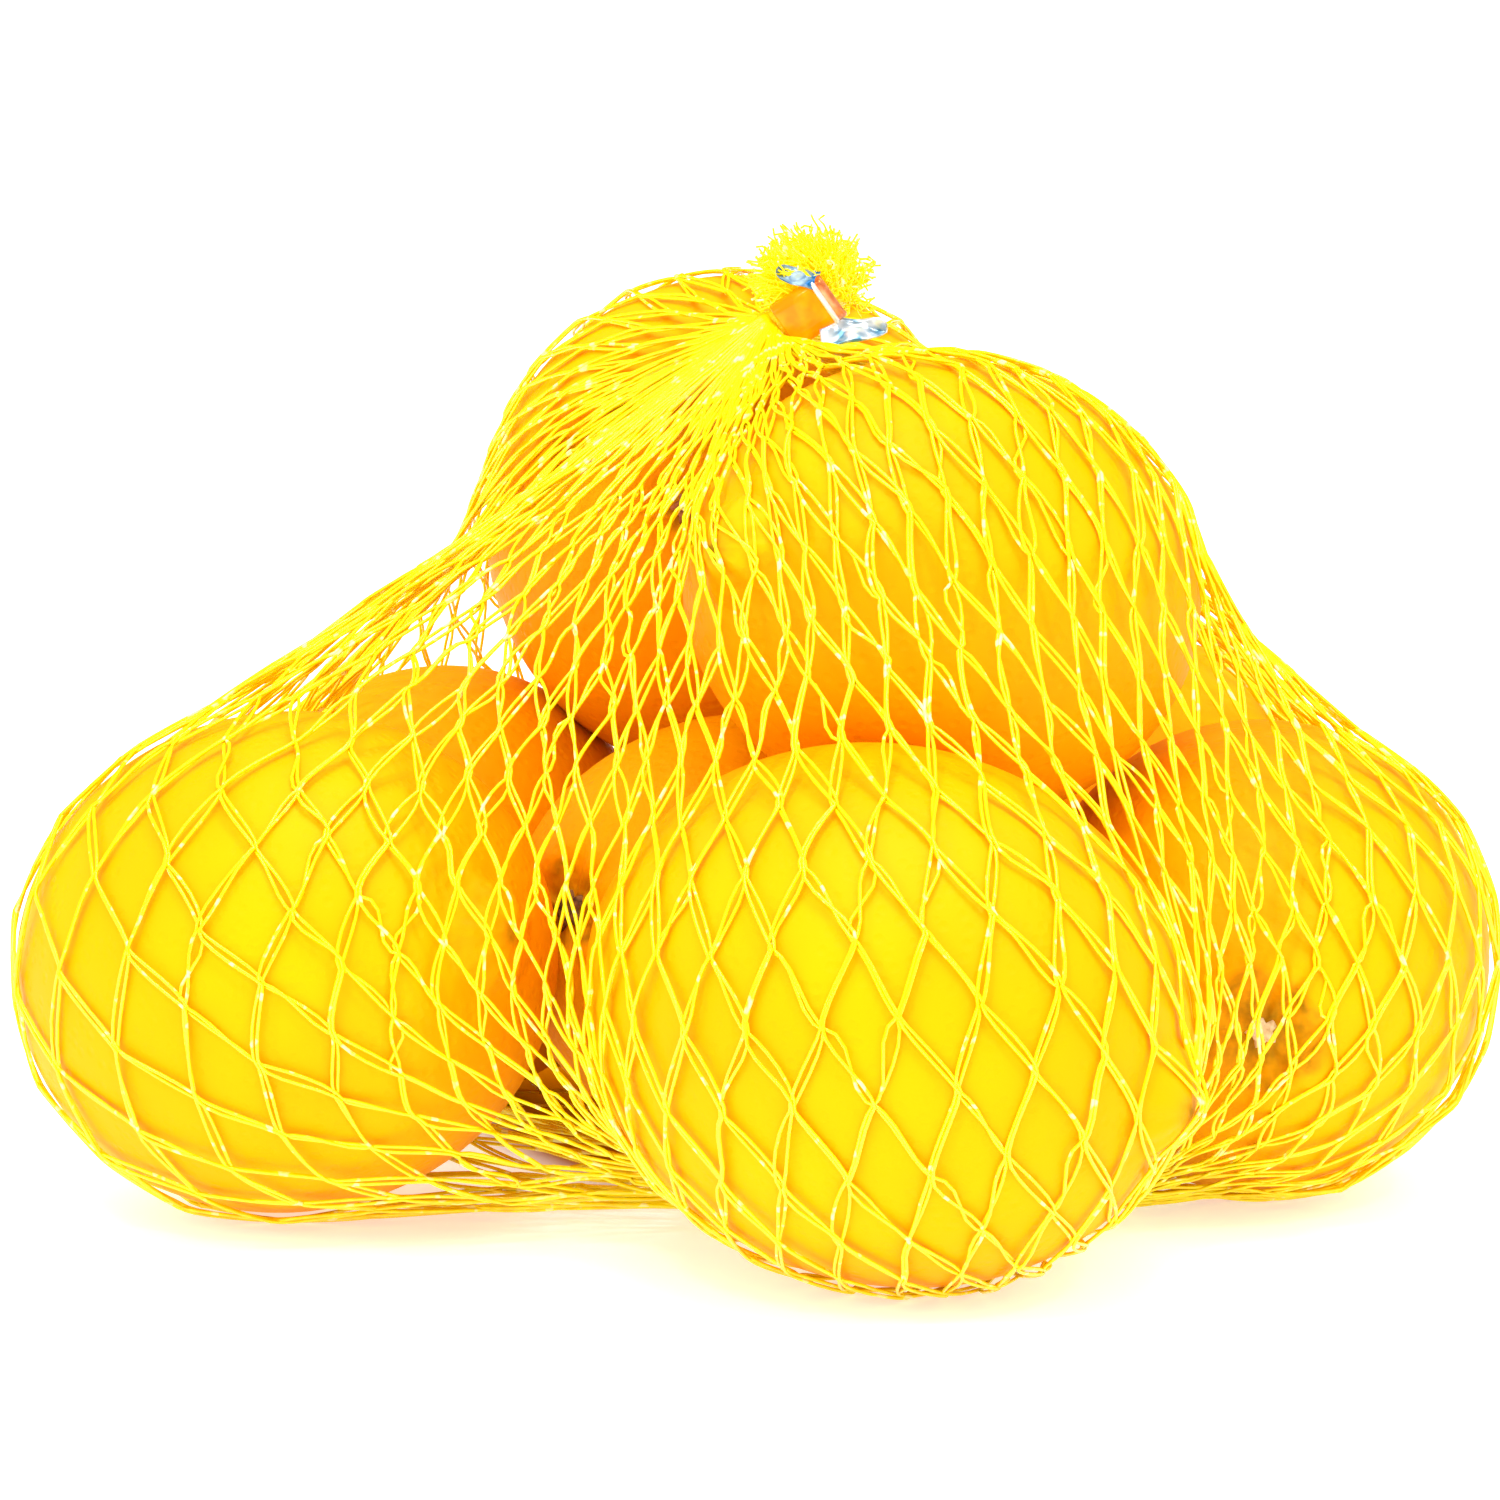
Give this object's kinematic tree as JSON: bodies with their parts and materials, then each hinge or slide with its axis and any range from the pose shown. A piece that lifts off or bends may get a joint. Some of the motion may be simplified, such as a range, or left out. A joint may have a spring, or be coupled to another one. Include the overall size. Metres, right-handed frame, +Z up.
{
  "type": "net of lemons",
  "caption": "Net of lemons: fruit heaped in a tight yellow net tube, gathered under the heap and closed at the top by a crimped metal clip with a frayed tuft.",
  "frame": {"origin": "middle of the base: centre of the box round the whole part, on the surface it rests on", "axes": "+Z up, -Y towards the camera of the picture, +X to its right"},
  "size_m": [0.1818, 0.1852, 0.1207],
  "materials": {
    "net": "thin glossy extruded net filament, slightly see-through, bright yellow",
    "lemon_skin": "waxy pitted lemon peel with a soft sheen",
    "lemon_stem": "dry brown-green calyx and woody stem scar",
    "clip": "bright rolled metal strip, softly reflecting the yellow net"
  },
  "bodies": {
    "root": {"lemon_net": "net", "neck_clip": "clip"}
  },
  "joints": []
}
